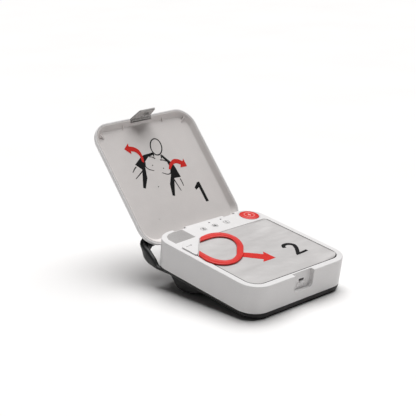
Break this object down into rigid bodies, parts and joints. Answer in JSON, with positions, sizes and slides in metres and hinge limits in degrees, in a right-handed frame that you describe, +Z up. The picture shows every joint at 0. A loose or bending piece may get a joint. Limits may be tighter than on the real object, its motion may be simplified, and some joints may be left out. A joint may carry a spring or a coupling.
{
  "type": "defibrillator",
  "caption": "Portable public-access defibrillator, lid open on its stop, with control deck, shock button, foil-covered electrode tray, pull loop, battery and rear carry handle.",
  "frame": {"origin": "middle of the footprint, on the surface that the feet stand on", "axes": "+X to the user's right, +Y away from the user towards the open lid, +Z up"},
  "size_m": [0.226, 0.3948, 0.265],
  "materials": {
    "white_shell": "satin moulded plastic with a fine grain",
    "lid_inner": "warm light grey moulded plastic",
    "grey_plastic": "matte grey plastic",
    "black_plastic": "textured black plastic",
    "rubber": "soft black rubber",
    "red_plastic": "semi-gloss red plastic",
    "foil": "soft silver-grey foil film with shallow wrinkles",
    "window": "small translucent light window",
    "steel": "plain zinc-plated steel",
    "circuit_board": "green circuit board",
    "component": "dark moulded component",
    "aluminium": "bare aluminium",
    "copper": "copper winding",
    "cable": "grey cable sheath",
    "gel_pad": "pale foam and gel pad"
  },
  "bodies": {
    "case": {"back_screw_left": "steel", "back_screw_right": "steel", "base_tray": "black_plastic", "battery_contacts": "copper", "button_board": "circuit_board", "carry_handle": "black_plastic", "case_gasket": "rubber", "charge_transformer": "copper", "connector_socket": "component", "discharge_inductor": "copper", "electrode_pad_left": "gel_pad", "electrode_pad_right": "gel_pad", "electrode_tray": "lid_inner", "foil_cover": "foil", "front_foot": "rubber", "front_screw_left": "steel", "front_screw_right": "steel", "handle_grip": "rubber", "hinge_bracket_left": "grey_plastic", "hinge_bracket_right": "grey_plastic", "hinge_pin_left": "steel", "hinge_pin_right": "steel", "latch_strike": "grey_plastic", "left_status_window": "window", "left_switch": "component", "lid_sensor": "component", "main_board": "circuit_board", "middle_switch": "component", "pad_lead": "cable", "processor_shield": "steel", "rear_foot_left": "rubber", "rear_foot_right": "rubber", "ribbon_cable": "cable", "right_status_window": "window", "right_switch": "component", "shock_button_bezel": "white_shell", "shock_capacitor": "aluminium", "shock_switch": "component", "speaker_driver": "component", "speaker_grille": "grey_plastic", "switching_module": "aluminium", "upper_case": "white_shell"},
    "lid": {"lid_shell": "white_shell", "lid_liner": "lid_inner", "hinge_arm_left": "grey_plastic", "hinge_arm_right": "grey_plastic", "latch_pin": "steel", "lid_magnet": "steel"},
    "latch": {"lid_latch": "grey_plastic"},
    "shock_key": {"shock_button": "red_plastic"},
    "left_key": {"left_button": "white_shell"},
    "middle_key": {"middle_button": "white_shell"},
    "right_key": {"right_button": "white_shell"},
    "pull_loop": {"pull_handle": "red_plastic"},
    "connector": {"electrode_connector": "white_shell"},
    "battery": {"battery_pack": "black_plastic"},
    "battery_catch": {"battery_latch": "grey_plastic"}
  },
  "joints": [
    {"name": "lid_hinge", "type": "hinge", "parent": "case", "child": "lid", "pos_m": [0, 0.03558, 0.07682], "axis": [-1, 0, 0], "range_deg": [-137.05, 0]},
    {"name": "lid_latch", "type": "hinge", "parent": "lid", "child": "latch", "pos_m": [0, 0.19223, 0.24372], "axis": [-1, 0, 0], "range_deg": [0, 10], "stiffness_Nm_per_rad": 0.4, "springref_deg": -5.73},
    {"name": "shock_press", "type": "slide", "parent": "case", "child": "shock_key", "axis": [0, 0.1452, -0.9894], "range_m": [0, 0.002], "stiffness_N_per_m": 1500, "springref_m": -0.001},
    {"name": "left_press", "type": "slide", "parent": "case", "child": "left_key", "axis": [0, 0.1452, -0.9894], "range_m": [0, 0.0008], "stiffness_N_per_m": 2500, "springref_m": -0.0005},
    {"name": "middle_press", "type": "slide", "parent": "case", "child": "middle_key", "axis": [0, 0.1452, -0.9894], "range_m": [0, 0.0008], "stiffness_N_per_m": 2500, "springref_m": -0.0005},
    {"name": "right_press", "type": "slide", "parent": "case", "child": "right_key", "axis": [0, 0.1452, -0.9894], "range_m": [0, 0.0008], "stiffness_N_per_m": 2500, "springref_m": -0.0005},
    {"name": "pull_loop_lift", "type": "hinge", "parent": "case", "child": "pull_loop", "pos_m": [-0.077, -0.03846, 0.08202], "axis": [-0.7071, -0.6996, -0.1027], "range_deg": [0, 85]},
    {"name": "connector_unplug", "type": "slide", "parent": "case", "child": "connector", "axis": [0, -0.1452, 0.9894], "range_m": [0, 0.014]},
    {"name": "battery_slide", "type": "slide", "parent": "case", "child": "battery", "axis": [0, 0.9894, 0.1452], "range_m": [0, 0.07]},
    {"name": "battery_release", "type": "slide", "parent": "battery", "child": "battery_catch", "axis": [0, 0.1452, -0.9894], "range_m": [0, 0.0022], "stiffness_N_per_m": 1000, "springref_m": -0.001}
  ]
}
